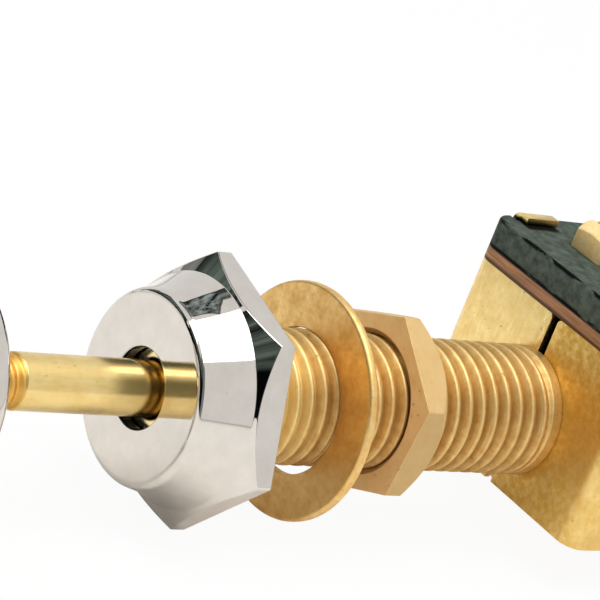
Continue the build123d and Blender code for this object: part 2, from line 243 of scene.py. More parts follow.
soft_box("soft_box_above", azimuth=90, elevation=81, distance=630, size=550, glow=2.6)
soft_box("soft_box_front", azimuth=-12, elevation=53, distance=600, size=220, glow=2.0)

# %% [markdown]
# ## Flags
# The photograph's chrome also has near-black patches. In a studio they come from dark cards, called flags,
# which the metal mirrors. One of them stands where a photographer would, and one behind. Flat cards would
# do, but a patch of a sphere round the switch is given by a range of azimuth and elevation, which is all
# that a mirrored ray asks for. Only mirror rays meet a flag, so it casts no shadow.

# %% Flags
FLAG_COLUMNS, FLAG_ROWS = 49, 25


def flag(name, azimuths, elevations, edge, middle, margins, blot=60.0, radius=420.0, lean=0.0):
    """A patch of a sphere round the switch: point (i, j) lies along beam(azimuth i, elevation j).

    An attribute rises from 0 at the rim to 1 inside. The margins are the degrees that takes from the sides,
    the bottom and the top. It sets how much of the middle's colour shows, in blots, over the edge's. With
    a lean, the elevation also rises with the azimuth."""
    a = np.linspace(*azimuths, FLAG_COLUMNS)[:, None]
    e = np.linspace(*elevations, FLAG_ROWS)[None, :]
    points = (MIDDLE + radius * beam(a, e + lean * (a - a.mean()))).reshape(-1, 3)
    index = np.arange(FLAG_COLUMNS * FLAG_ROWS).reshape(FLAG_COLUMNS, FLAG_ROWS)
    quads = np.stack([index[:-1, :-1], index[1:, :-1], index[1:, 1:], index[:-1, 1:]], -1)
    mesh = bpy.data.meshes.new(name)
    mesh.from_pydata((points * MM).tolist(), [], quads.reshape(-1, 4).tolist())
    side, bottom, top = margins
    sideways = np.minimum(a - a.min(), a.max() - a) / side
    upwards = np.minimum((e - e.min()) / bottom, (e.max() - e) / top)
    inside = mesh.attributes.new("inside", "FLOAT", "POINT")
    inside.data.foreach_set("value", np.clip(np.minimum(sideways, upwards), 0, 1).ravel())
    card = bpy.data.objects.new(name, mesh)
    bpy.context.scene.collection.objects.link(card)
    card.visible_camera = card.visible_diffuse = card.visible_shadow = card.visible_transmission = False
    material, tree = blank(name)
    cloud = blots(tree, add(tree, "TexCoord").outputs["Object"], blot, 0.36, 0.64)
    rim = add(tree, "Attribute", attribute_name="inside")
    share = add(tree, "Math", {0: cloud, 1: rim.outputs["Fac"]}, operation="MULTIPLY").outputs[0]
    tint = add(tree, "Mix", {0: share}, {6: linear(edge), 7: linear(middle)}, data_type="RGBA")
    glow = add(tree, "Emission", {"Color": tint.outputs[2]})
    add(tree, "OutputMaterial", {"Surface": glow.outputs[0]})
    mesh.materials.append(material)


flag("flag_top", (-75, -28), (9, 37.5), "#080b0c", "#74857f", (8, 14, 3), blot=40.0)
flag("flag_right", (-24, 36), (20, 38), "#080a0b", "#74857f", (11, 5, 4), blot=40.0)
flag("flag_low", (-34, 36), (-15, 20), "#050607", "#0a0c0d", (3, 3, 3))
flag("flag_dim", (-84, -75), (5, 24), "#767b79", "#9a9f9c", (3, 3, 3))
flag("flag_photographer", (20, 62), (-14, 48), "#767b76", "#8d928d", (3, 3, 3), radius=440.0)
flag("flag_left", (-127, -82), (47, 71), "#0d1214", "#a9b6b5", (5, 2, 2), blot=34.0, lean=0.2)
flag("flag_back", (190, 218), (-1, 22), "#060708", "#0d1011", (3, 3, 3))

# %% [markdown]
# ## Surfaces from sections
# Nearly every piece of this switch was turned in a lathe or cut from hexagon bar. Both are one idea:
# a closed section of (radius, place along the stem) points that is carried round the axis. For a
# hexagon the section's corners simply depend on the angle. Modelling by hand with bevels would give
# the same shapes, but here each easing keeps its size in millimetres.

# %% Sections with eased corners
STEPS = 8  # points on each eased corner
ROWS = STEPS + 2
GUARD = 0.12  # the furthest that a guard point stands from the arc beside it


def rounded(corners, radii):
    """A closed section with eased corners, as rows of (radius, place).

    At a corner P with unit arms a and b to its neighbours, the arc of radius q starts at P + a t and ends
    at P + b t, where t = q / tan(half the angle between the arms). Its centre is on the bisector at
    q / sin(half angle), and the points between are found by turning one arm of the centre into the other.
    One guard point beside each end of the arc keeps the straight parts flat under smooth shading, so each
    corner gives ROWS rows."""
    corners = np.asarray(corners, float)
    q = np.asarray(radii, float)[:, None]
    a = np.roll(corners, 1, 0) - corners
    b = np.roll(corners, -1, 0) - corners
    a, b = (arm / np.linalg.norm(arm, axis=-1, keepdims=True) for arm in (a, b))
    half = np.arccos(np.clip((a * b).sum(-1), -1, 1)) / 2
    t = (q / np.tan(half))[..., None]
    bisector = (a + b) / np.linalg.norm(a + b, axis=-1, keepdims=True)
    centre = corners + bisector * (q / np.sin(half))[..., None]
    first, last = corners + a * t - centre, corners + b * t - centre
    turn = (np.pi - 2 * half)[:, None, :, None]
    u = np.linspace(0, 1, STEPS)[None, :, None, None]
    arc = (np.sin((1 - u) * turn) * first[:, None] + np.sin(u * turn) * last[:, None]) / np.sin(turn)
    spare = np.minimum(0.5 * q, GUARD)[..., None]
    before = (corners + a * (t + spare))[:, None]
    after = (corners + b * (t + spare))[:, None]
    rows = np.concatenate([before, centre[:, None] + arc, after], 1)
    return rows.reshape(-1, *corners.shape[1:])


square = np.array([(1, 0), (2, 0), (2, 1), (1, 1)])[:, None]
print("rows of a square section:", len(rounded(square, np.full(4, 0.1))))

# %% [markdown]
# ## From section to piece
# Carried round the axis, a section gives a grid of points, with one column for each angle. A Screw modifier
# would turn a profile as well, but in a grid each column may differ, which hexagons and threads need. A
# finished piece then gets its material, the body that it moves with, and the solid that it stands for.

# %% Surfaces and pieces
MERGE = 0.0005  # points nearer than this are one
ROUND = np.linspace(0, 2 * np.pi, 128, endpoint=False)


def carried(section, angles):
    """Carries a section round the stem: (r, y) at angle t lies at (r cos t, y, r sin t)."""
    r, y, t = np.broadcast_arrays(section[..., 0], section[..., 1], angles)
    return np.stack([r * np.cos(t), y, r * np.sin(t)], -1)


def skin(name, points, ring=True):
    """A smooth closed mesh over a grid of points: rows along the section, columns round the axis.

    Columns close on themselves, and rows too where the section is a ring. Points that fall together,
    as on the axis, are merged, so that a pole is a single vertex."""
    rows, columns = points.shape[:2]
    index = np.arange(rows * columns).reshape(rows, columns)
    after = np.roll(index, -1, 0)
    quads = np.stack([index, np.roll(index, -1, 1), np.roll(after, -1, 1), after], -1)
    quads = quads if ring else quads[:-1]
    mesh = bpy.data.meshes.new(name)
    mesh.from_pydata((points * MM).reshape(-1, 3).tolist(), [], quads.reshape(-1, 4).tolist())
    shape = bmesh.new()
    shape.from_mesh(mesh)
    bmesh.ops.remove_doubles(shape, verts=shape.verts, dist=MERGE * MM)
    bmesh.ops.recalc_face_normals(shape, faces=shape.faces)
    shape.to_mesh(mesh)
    shape.free()
    mesh.shade_smooth()
    piece = bpy.data.objects.new(name, mesh)
    bpy.context.scene.collection.objects.link(piece)
    return piece


def settle(piece, material, body, node):
    """Gives a piece its finish, its body and its slot, and lets it stand for a node of the frame."""
    piece.data.materials.clear()
    piece.data.materials.append(material)
    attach(piece, body)
    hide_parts(node)
    print(piece.name, "faces:", len(piece.data.polygons))


print("columns round a turned piece:", len(ROUND))

# %% [markdown]
# ## Chrome plate
# The knob and the face nut are brass with polished chrome plate. Chrome is a bright grey mirror, here with
# a faintly warm tint. Buffing before plating leaves the surface gently uneven, so reflections waver and
# the plate looks faintly clouded, with a pit here and there. One side of the face nut's hole is painted
# dark as shade. The metal keeps its default IOR.

# %% Chrome plate
HOLE_SHADE, HOLE_MOUTH = (3.75, 3.95), 7.75  # radii where the dark ends, and how far out the hole reaches
HOLE_WAY, HOLE_SIDE = (0.77, 0, 0.64), (-0.2, 0.6)  # the way out of its dark side, and where that ends


def off_axis(tree, place):
    """The distance from the stem's axis."""
    flat = add(tree, "VectorMath", {0: place}, {1: (1, 0, 1)}, operation="MULTIPLY")
    return add(tree, "VectorMath", {0: flat.outputs[0]}, operation="LENGTH").outputs["Value"]


material, tree = blank("polished_chrome_plate")
place = add(tree, "TexCoord").outputs["Object"]
cloud = blots(tree, place, 2.0, 0.3, 0.7)
tint = add(tree, "Mix", {0: cloud}, {6: linear("#e0dad3"), 7: linear("#d6d0c8")}, data_type="RGBA")
pit = blots(tree, place, 0.4, 0.7, 0.78)
pitted = add(tree, "Mix", {0: pit, 6: tint.outputs[2]}, {7: linear("#a89f92")}, data_type="RGBA")
# painted shade: one side of the hole's wall turns dark
along = add(tree, "SeparateXYZ", {0: place}).outputs["Y"]
side = add(tree, "VectorMath", {0: place}, {1: HOLE_WAY}, operation="DOT_PRODUCT").outputs["Value"]
hole = add(tree, "Math", {0: along}, {1: -HOLE_MOUTH * MM}, operation="GREATER_THAN").outputs[0]
for measure, (least, most) in ((off_axis(tree, place), HOLE_SHADE), (side, HOLE_SIDE)):
    limits = {"From Min": least * MM, "From Max": most * MM, "To Min": 1.0, "To Max": 0.0}
    near = add(tree, "MapRange", {"Value": measure}, limits).outputs[0]
    hole = add(tree, "Math", {0: hole, 1: near}, operation="MULTIPLY").outputs[0]
colour = add(tree, "Mix", {0: hole, 6: pitted.outputs[2]}, {7: linear("#0e0b08")}, data_type="RGBA")
haze = add(tree, "MapRange", {"Value": cloud}, {"To Min": 0.03, "To Max": 0.06})
wave = add(tree, "TexNoise", {"Vector": place}, {"Scale": per(4.0), "Detail": 1.0})
bump = add(tree, "Bump", {"Height": wave.outputs[0]}, {"Strength": 1.0, "Distance": 0.01 * MM})
plate = add(
    tree, "BsdfPrincipled",
    {"Base Color": colour.outputs[2], "Roughness": haze.outputs[0], "Normal": bump.outputs[0]},
    {"Metallic": 1.0},
)
add(tree, "OutputMaterial", {"Surface": plate.outputs[0]})
chrome = material
print("finish:", chrome.name)

# %% [markdown]
# ## The knob
# The knob is a turned disc with a short hub, a conical back, a broad rim and a bevelled front. The
# photograph cuts it off, so its front stays plain. Its section runs from the hole's floor on the axis
# round to the middle of the front, so it isn't a ring, and both of its ends close in a pole.

# %% Knob
KNOB_HUB, KNOB_HUB_LENGTH = 4.4, 0.9
KNOB_FLARE, KNOB_FACE, KNOB_BEVEL = 2.8, 7.0, 1.0
NECK_HOLE, NECK_HOLE_DEPTH = 2.465, 6.0
KNOB_EASING = 0, 0.2, 0.2, 0.25, 0.4, 1.2, 0.6, 0.8, 0  # the radius at each corner of its section
AXIS_RADIUS = 0.0001  # stands in for the axis while a section's corners are eased

low, high = sides("knob")
knob_r, back, front = high[0], high[1], low[1]
section = rounded(
    np.array([
        (AXIS_RADIUS, back - NECK_HOLE_DEPTH),
        (NECK_HOLE, back - NECK_HOLE_DEPTH),
        (NECK_HOLE, back),
        (KNOB_HUB, back),
        (KNOB_HUB, back - KNOB_HUB_LENGTH),
        (knob_r, back - KNOB_HUB_LENGTH - KNOB_FLARE),
        (knob_r, front + KNOB_BEVEL),
        (KNOB_FACE, front),
        (AXIS_RADIUS, front),
    ])[:, None],
    KNOB_EASING,
)
section[:ROWS, :, 0] = 0
section[-ROWS:, :, 0] = 0
knob = skin("knob_skin", carried(section, ROUND), ring=False)
settle(knob, chrome, "plunger", "knob")

# %% [markdown]
# ## Hexagon bar
# Both nuts are cut from hexagon bar with slightly eased corners. A cylinder of six sides and a Bevel would
# give that bar, but here it has to follow the same grid as a turned piece. So it is a radius for each angle.

# %% Hexagon bar
SIDE_COLUMNS = 32  # on each of the six sides


def hexagon(flats, easing, turn):
    """Angles and radii round a hexagon with eased corners.

    At angle f from the middle of a side at distance a, the straight part has radius a / cos f. Near a
    corner the radius is that of a circle of the easing's size: d + sqrt(d d - c c + e e), where
    the circle's centre c has its part d along the ray. Columns crowd towards the corners as a sine."""
    apothem = flats / 2
    lean = np.tan(np.radians(30))
    f = np.arctan(lean * np.sin(np.linspace(-np.pi / 2, np.pi / 2, SIDE_COLUMNS, endpoint=False)))
    inner = apothem - easing
    d = inner * (np.cos(f) + lean * np.sin(np.abs(f)))
    corner = d + np.sqrt(np.maximum(d ** 2 - inner ** 2 * (1 + lean ** 2) + easing ** 2, 0))
    radius = np.where(apothem * np.abs(np.tan(f)) <= inner * lean, apothem / np.cos(f), corner)
    middles = np.radians(turn + 30 + 60 * np.arange(6))
    return (middles[:, None] + f).ravel(), np.tile(radius, 6)


CORNER_SHARE = np.cos(np.radians(30))  # half the flats, as a share of a sharp corner's radius
blunt = hexagon(2, 0.1, 0)[1].max()
print("corner of a bar 2 mm across, sharp and eased:", np.round((1 / CORNER_SHARE, blunt), 3))

# %% [markdown]
# ## The face nut
# A lathe turns the corners of the face nut away to a cone, then turns a slightly hollow boss with a flat
# mirror of a front. Where the cone meets each flat, the edge is a curve. Clipping a turned body with planes
# would cut such a curve through the mesh; here each column of the grid has its own corner there, so
# the edge follows the grid and stays crisp.

# %% Face nut
NUT_FLATS, NUT_TURN, NUT_CORNER = 22.2, 107.3, 1.55
NUT_SHOULDER_R, NUT_SHOULDER = 10.75, 3.05
NUT_DISC_R, NUT_HOLLOW = 8.9, 0.15
HOLLOW_REACH = 0.3  # of the boss's slope, on each side of its middle, that the hollow's arc takes up
NUT_HOLE_R, NUT_LIP, THREAD_LEAD, THREAD_GAP = 3.7, 1.2, 0.5, 0.05
NUT_BAR_EASING = 0.22

low, high = sides("face_nut")
height = -low[1]
bore = sides("stem")[1][0] + THREAD_GAP
angles, r = hexagon(NUT_FLATS, NUT_BAR_EASING, NUT_TURN)
still = np.ones_like(r)
slope = (NUT_SHOULDER - NUT_CORNER) / (NUT_FLATS / 2 / CORNER_SHARE - NUT_SHOULDER_R)
cone = -NUT_SHOULDER + (r - NUT_SHOULDER_R) * slope
shoulder, disc = np.array((NUT_SHOULDER_R, -NUT_SHOULDER)), np.array((NUT_DISC_R, -height))
run = disc - shoulder
inwards = np.array((run[1], -run[0])) / np.linalg.norm(run)
waist = (shoulder + disc) / 2 + 2 * NUT_HOLLOW * inwards
hollow_r = HOLLOW_REACH * (run @ run) / (4 * NUT_HOLLOW)
nut_easing = 0.1, 0.12, 0.2, 0.14, hollow_r, 0.8, 0.22, 0.1, 0.1, 0.1
places = [
    (bore + THREAD_LEAD, 0), (r, 0), (r, cone), shoulder, waist, disc,
    (NUT_HOLE_R, -height), (NUT_HOLE_R, NUT_LIP - height), (bore, NUT_LIP - height), (bore, -THREAD_LEAD),
]
corners = np.array([np.stack([p[0] * still, p[1] * still], -1) for p in places])
section = rounded(corners, nut_easing)
face_nut = skin("face_nut_skin", carried(section, angles))
settle(face_nut, chrome, "case", "face_nut")

# %% [markdown]
# ## Brass
# Most of the rest is brass, worked in several ways: drawn rod, turned bar, stamped strip, rolled sheet.
# All of them are the same golden mirror with a different grain. Handling leaves faint clouds of deeper
# gold and a few brown specks, and tools leave marks that scatter light. Real tool marks are too fine to show
# here, so they are drawn coarser. One recipe takes all of this as values, so each piece below gives its own
# colours, grain and gloss.

# %% Brass recipe
TURNED = "turned"
SPECK = 0.5  # across a brown speck


def brass(name, bright, deep, stain, gloss, cloud, mark, ways, depth):
    """Brass with clouds, specks and tool marks, whose sizes and depth are in millimetres.

    Turned marks are noise over (place along the stem, radius), so they ring the axis on any face. Drawn
    or rolled marks are noise over Object coordinates, each multiplied by one of the ways: a small one draws
    the marks out. The gloss is the roughness where the brass is bright and where it is deep."""
    material, tree = blank(name)
    place = add(tree, "TexCoord").outputs["Object"]
    if ways == TURNED:
        along = add(tree, "SeparateXYZ", {0: place}).outputs["Y"]
        grain = add(tree, "CombineXYZ", {0: along, 1: off_axis(tree, place)}).outputs[0]
    else:
        grain = add(tree, "VectorMath", {0: place}, {1: ways}, operation="MULTIPLY").outputs[0]
    marks = blots(tree, grain, mark, 0.2, 0.8, 3.0)
    clouds = blots(tree, place, cloud, 0.3, 0.7, 5.0)
    both = add(tree, "Math", {0: clouds, 1: marks}, operation="ADD").outputs[0]
    share = add(tree, "Math", {0: both}, {1: 0.5}, operation="MULTIPLY").outputs[0]
    tint = add(tree, "Mix", {0: share}, {6: linear(bright), 7: linear(deep)}, data_type="RGBA")
    specks = blots(tree, place, SPECK, 0.7, 0.78, 2.0)
    colour = add(tree, "Mix", {0: specks, 6: tint.outputs[2]}, {7: linear(stain)}, data_type="RGBA")
    rough = add(tree, "MapRange", {"Value": share}, {"To Min": gloss[0], "To Max": gloss[1]})
    bump = add(tree, "Bump", {"Height": marks}, {"Strength": 1.0, "Distance": depth * MM})
    metal = add(
        tree, "BsdfPrincipled",
        {"Base Color": colour.outputs[2], "Roughness": rough.outputs[0], "Normal": bump.outputs[0]},
        {"Metallic": 1.0}, name="metal",
    )
    add(tree, "OutputMaterial", {"Surface": metal.outputs[0]})
    print("finish:", name)
    return material


print("made: the recipe that every brass below follows")

# %% [markdown]
# ## Wear, and painted light and shade
# Handling changes brass only in places, and some places are painted lighter or darker for light and shade.
# Each such place could be a material of its own, but then its border would follow the faces. Here one more
# colour is mixed into the recipe by a share, and mostly that share goes from one value to another between
# two places along the stem, or between two distances from its axis.

# %% Wear, and painted light and shade


def tinge(material, share, colour, roughness=None):
    """Mixes one more colour, and a roughness if one is given, into a brass where a share says so."""
    tree = material.node_tree
    metal = tree.nodes["metal"]
    plain = metal.inputs["Base Color"].links[0].from_socket
    mixed = add(tree, "Mix", {0: share, 6: plain}, {7: linear(colour)}, data_type="RGBA")
    tree.links.new(mixed.outputs[2], metal.inputs["Base Color"])
    if roughness is not None:
        plain = metal.inputs["Roughness"].links[0].from_socket
        mixed = add(tree, "Mix", {0: share, 2: plain}, {3: roughness})
        tree.links.new(mixed.outputs[0], metal.inputs["Roughness"])


def wear_and_painted_light(material, measure, places, shares, colour, roughness=None):
    """A tinge whose share goes from the first to the second while a measure goes between two places."""
    least, most = (place * MM for place in places)
    limits = {"From Min": least, "From Max": most, "To Min": shares[0], "To Max": shares[1]}
    share = add(material.node_tree, "MapRange", {"Value": measure}, limits).outputs[0]
    tinge(material, share, colour, roughness)
    print("wear between", np.round(places, 2), "mm:", colour)


def along_stem(tree):
    """The place along the stem."""
    return add(tree, "SeparateXYZ", {0: add(tree, "TexCoord").outputs["Object"]}).outputs["Y"]


print("made: tinge, wear and along_stem")

# %% [markdown]
# ## Threads
# A thread is a helix, so it can be swept as a wire and cut out. It is simpler as a height field: on a
# turned piece the radius drops by a depth that depends only on the phase, which is the place along the
# axis in pitches plus the angle in turns. Crests and roots then follow a right-handed helix by
# themselves, and the grid stays regular.

# %% Helpers for threads
CREST, ROOT = 0.14, 0.1  # flats of a thread's crest and root, as shares of half its pitch
PITCH_ROWS = 22


def thread(y, angle, pitch, depth):
    """How far a thread lies below its crests, in millimetres.

    The phase is y / pitch + angle / 2 pi, and w is how far it is from the crest, from 0 to 1 at the root.
    A share s rises evenly with w between the crest's flat and the root's. Wear has rounded the edges, so
    the depth is the mean of s and of the smooth step 3 s s - 2 s s s."""
    phase = (y / pitch + angle / (2 * np.pi)) % 1
    w = 1 - np.abs(2 * phase - 1)
    s = np.clip((w - CREST) / (1 - CREST - ROOT), 0, 1)
    return depth * (s + s * s * (3 - 2 * s)) / 2


def screw_cut(section, corner, pitch, depth, run_out=0.0, shift=0.0):
    """Cuts a thread into the straight stretch of a section that follows one of its corners.

    The stretch gets a row for each small share of the pitch. There, and on the corners at its ends, the
    radius is the smaller of the section's own and the stretch's less the thread's depth. With a run-out, the
    depth fades to nothing that far before the stretch ends. A shift moves the crests, in pitches."""
    first = (corner + 1) * ROWS
    radius, start = section[first - 1, 0]
    stop = section[first, 0, 1]
    places = np.arange(start, stop, pitch / PITCH_ROWS)[1:]
    cut = np.stack([np.full_like(places, radius), places], -1)[:, None]
    longer = np.concatenate([section[:first], cut, section[first:]])
    r, y, t = np.broadcast_arrays(longer[..., 0], longer[..., 1], ROUND)
    fade = np.clip((stop - run_out - y) / (pitch / 2), 0, 1) if run_out else 1.0
    rows = np.arange(len(longer))[:, None]
    inside = (rows >= first - 2 * ROWS) & (rows < first + len(places) + ROWS // 2)
    lowered = np.minimum(r, radius - thread(y - shift * pitch, t, pitch, depth) * fade)
    return np.stack([np.where(inside, lowered, r), y], -1)


print("depth at crest and root:", thread(np.array((0.0, 0.5)), 0.0, 1.0, 1.0))

# %% [markdown]
# ## The stem
# The stem is turned from bar, bored for the plunger and threaded from its nose almost to the case, where
# a narrow collar is left plain. Its end goes through the case's front and is riveted over. The thread
# runs out over the chamfered nose, because the cutter starts in the air there.

# %% Stem
STEM_PITCH, STEM_DEPTH, STEM_SHIFT = 1.62, 0.78, 0.47
NOSE_EDGE, COLLAR = 0.7, 1.0
SPIGOT_R, LIP_R, LIP_LENGTH, LIP_FLAT = 4.5, 5.5, 0.9, 0.3
SHAFT_GAP = 0.05
STEM_EASING = 0.1, 0.15, 0.1, 0.1, 0.12, 0.1, 0.05, 0.1, 0.1, 0.1

low, high = sides("stem")
stem_r, nose, end = high[0], low[1], high[1]
grip, lip = sides("housing")[0][1], end - LIP_LENGTH
bore = sides("plunger_shaft")[1][0] + SHAFT_GAP
section = rounded(
    np.array([
        (bore, end), (bore, nose), (stem_r - NOSE_EDGE, nose), (stem_r, nose + NOSE_EDGE), (stem_r, grip),
        (SPIGOT_R, grip), (SPIGOT_R, lip), (LIP_R, lip), (LIP_R, lip + LIP_FLAT), (SPIGOT_R, end),
    ])[:, None],
    STEM_EASING,
)
section = screw_cut(section, 3, STEM_PITCH, STEM_DEPTH, COLLAR, STEM_SHIFT)
stem = skin("stem_skin", carried(section, ROUND))
print("turns of the stem's thread:", round((grip - COLLAR - nose) / STEM_PITCH, 1))

# %% [markdown]
# ## The stem's finish
# A cut thread scatters light, so its brass is duller than the rod's. Its grooves are a darker brown, its
# crests are worn bright and also painted paler as a highlight, and near the nose it is brightest of all. The
# nose's own face is polished, and the bore is painted black as shade. All of these follow the radius or the
# place along the stem, so no image is needed.

# %% The stem's finish
GROOVE_DARK = stem_r - STEM_DEPTH, stem_r - 0.35 * STEM_DEPTH  # radii between which a groove's darker brown ends
CREST_WEAR_AND_HIGHLIGHT = stem_r - 0.16, stem_r - 0.03  # radii between which a crest turns bright: wear, and a painted highlight
WORN_FRONT = 6.0, 9.0  # along the stem, where the thread's bright front ends
NOSE_FACE = 5.3, 5.6  # radii between which the nose's polished face ends
BORE_SHADE = 2.8, 2.95  # radii between which the bore's painted black shade ends

cut_brass = brass(
    "cut_brass_thread", "#f2d492", "#c29044", "#6f4c22",
    gloss=(0.42, 0.64), cloud=1.0, mark=0.22, ways=TURNED, depth=0.005,
)
tree = cut_brass.node_tree
radius = off_axis(tree, add(tree, "TexCoord").outputs["Object"])
# darker brown towards the roots of the grooves
wear_and_painted_light(cut_brass, radius, GROOVE_DARK, (0.85, 0.0), "#9c6a2a")
# painted highlight: the worn crests are also painted paler
wear_and_painted_light(cut_brass, radius, CREST_WEAR_AND_HIGHLIGHT, (0.0, 0.2), "#fae6b6")
wear_and_painted_light(cut_brass, along_stem(tree), WORN_FRONT, (0.5, 0.0), "#fbdf96")
wear_and_painted_light(cut_brass, radius, NOSE_FACE, (1.0, 0.0), "#f8dfa4", 0.14)
# painted shade: the bore is painted black
wear_and_painted_light(cut_brass, radius, BORE_SHADE, (1.0, 0.0), "#0e0905")
settle(stem, cut_brass, "case", "stem")

# %% [markdown]
# ## The plunger shaft
# The shaft is a drawn rod, the glossiest brass here, with faint streaks along it. Its neck is threaded for
# the knob, and what shows of the thread is dull and a deeper gold. Two grooves at the hidden end take the
# clips. The shaft is a full bar, so its section starts and ends on the axis.

# %% Plunger shaft
NECK_R, NECK_END, SHOULDER, SHAFT_EDGE = 2.415, 21.7, 0.2, 0.35  # this neck ends as the photograph's does
NECK_PITCH, NECK_DEPTH = 1.2, 0.3
GROOVE_R, SHAFT_EASING = 2.0, 0.06

low, high = sides("plunger_shaft")
shaft_r, tip, tail = high[0], low[1], high[1]
grooves = [sides("carrier_clip_" + place)[i][1] for place in ("front", "rear") for i in (0, 1)]
places = [
    (AXIS_RADIUS, tip), (NECK_R - SHAFT_EDGE, tip), (NECK_R, tip + SHAFT_EDGE),
    (NECK_R, -NECK_END), (shaft_r, SHOULDER - NECK_END),
    (shaft_r, grooves[0]), (GROOVE_R, grooves[0]), (GROOVE_R, grooves[1]), (shaft_r, grooves[1]),
    (shaft_r, grooves[2]), (GROOVE_R, grooves[2]), (GROOVE_R, grooves[3]), (shaft_r, grooves[3]),
    (shaft_r, tail - SHAFT_EDGE), (shaft_r - SHAFT_EDGE, tail), (AXIS_RADIUS, tail),
]
radii = np.full(len(places), SHAFT_EASING)
radii[[0, -1]] = 0
section = rounded(np.array(places)[:, None], radii)
section[:ROWS, :, 0] = 0
section[-ROWS:, :, 0] = 0
section = screw_cut(section, 2, NECK_PITCH, NECK_DEPTH)
shaft = skin("plunger_shaft_skin", carried(section, ROUND), ring=False)

drawn_brass = brass(
    "drawn_brass_rod", "#f9e2a2", "#e6c274", "#8a6a34",
    gloss=(0.18, 0.3), cloud=1.8, mark=0.5, ways=(1, 0.12, 1), depth=0.003,
)
neck = -NECK_END, SHOULDER - NECK_END
wear_and_painted_light(drawn_brass, along_stem(drawn_brass.node_tree), neck, (0.8, 0.0), "#e0a848", 0.5)
settle(shaft, drawn_brass, "plunger", "plunger_shaft")

# %% [markdown]
# ## The panel washer
# The washer is stamped from strip and tumbled, so its rim is round, and its face is slightly dull and
# mottled. It hangs on the top of the stem, lower than the stem's axis, so its ring is moved down after it is
# carried round.

# %% Panel washer
stamped_brass = brass(
    "stamped_brass_strip", "#fbdd9a", "#d4a050", "#7d5526",
    gloss=(0.34, 0.56), cloud=1.8, mark=0.6, ways=(1, 1, 1), depth=0.006,
)
WASHER_HOLE_R, WASHER_EDGE, WASHER_HOLE_EDGE = 6.8, 0.35, 0.1
low, high = sides("panel_washer")
washer_r, sag = (high[0] - low[0]) / 2, (high[2] + low[2]) / 2
section = rounded(
    np.array([
        (WASHER_HOLE_R, low[1]), (washer_r, low[1]), (washer_r, high[1]), (WASHER_HOLE_R, high[1]),
    ])[:, None],
    (WASHER_HOLE_EDGE, WASHER_EDGE, WASHER_EDGE, WASHER_HOLE_EDGE),
)
washer = skin("panel_washer_skin", carried(section, ROUND) + (0, 0, sag))
settle(washer, stamped_brass, "case", "panel_washer")

# %% [markdown]
# ## The jam nut
# The jam nut is a thin slice of hexagon bar, flat towards the panel, with its corners turned away behind.
# It is made like the face nut, with the cone on its other side. Its front has the rings of the parting
# tool, and fingers and spanners have dulled its flats.

# %% Jam nut
# painted light: the bright and deep colours are paler than the metal, to lift the front face from the
# washer's shade
nut_brass = brass(
    "parted_brass_nut", "#fdebc0", "#f0d096", "#8a6230",
    gloss=(0.72, 0.86), cloud=2.0, mark=0.3, ways=TURNED, depth=0.005,
)
JAM_FLATS, JAM_TURN, JAM_CORNER, JAM_FACE_R = 16.6, 82.9, 1.8, 8.25
JAM_BAR_EASING = 0.15
JAM_EASING = 0.08, 0.03, 0.02, 0.02, 0.08, 0.08, 0.08
FLATS_START = 0.01, 0.05  # behind the front face, where the dulled flats start

low, high = sides("jam_nut")
front, back = low[1], high[1]
bore = stem_r + THREAD_GAP
angles, r = hexagon(JAM_FLATS, JAM_BAR_EASING, JAM_TURN)
still = np.ones_like(r)
slope = (back - front - JAM_CORNER) / (JAM_FLATS / 2 / CORNER_SHARE - JAM_FACE_R)
cone = back - (r - JAM_FACE_R) * slope
places = [
    (bore + THREAD_LEAD, front), (r, front), (r, cone), (JAM_FACE_R, back), (bore + THREAD_LEAD, back),
    (bore, back - THREAD_LEAD), (bore, front + THREAD_LEAD),
]
corners = np.array([np.stack([p[0] * still, p[1] * still], -1) for p in places])
section = rounded(corners, JAM_EASING)
jam_nut = skin("jam_nut_skin", carried(section, angles))

flats = [front + depth for depth in FLATS_START]
wear_and_painted_light(nut_brass, along_stem(nut_brass.node_tree), flats, (0.0, 0.8), "#d2b682")
settle(jam_nut, nut_brass, "case", "jam_nut")

# %% [markdown]
# ## Brass sheet
# The case is folded from rolled sheet, which has a satin gloss and faint streaks. The half of it that lies to
# the right of the front's seam is a painted reflection, in fine dull patches of deeper gold, for the other
# things that those flaps mirror, and painted shadow lies black under the tabs that hold the board. Both could
# be painted in an image, but they follow one measure each, across the case and upwards, so they are shares
# worked out from Object coordinates.

# %% Brass sheet
sheet_brass = brass(
    "rolled_brass_sheet", "#ffe8a8", "#e6bf6c", "#8f6428",
    gloss=(0.22, 0.38), cloud=1.6, mark=0.35, ways=(1, 1, 0.3), depth=0.004,
)
REFLECTION_EDGE, REFLECTION_END = (0.2, 1.0), (9.5, 16.0)  # across the case, from its seam to its corner, where the painted deeper gold rises and fades
TAB_SHADE = 0.05, 0.4  # how far painted shadow reaches up the tabs from the board

tree = sheet_brass.node_tree
place = add(tree, "TexCoord").outputs["Object"]
axes = add(tree, "SeparateXYZ", {0: place}).outputs
board_low, board_high = sides("terminal_board")
tab_shade = [board_high[2] + rise for rise in TAB_SHADE]
start, stop, above, clear = (
    add(tree, "MapRange", {"Value": axes[axis]}, {"From Min": a * MM, "From Max": b * MM}).outputs[0]
    for axis, (a, b) in zip("XXZZ", (REFLECTION_EDGE, REFLECTION_END, (board_low[2], board_high[2]), tab_shade))
)
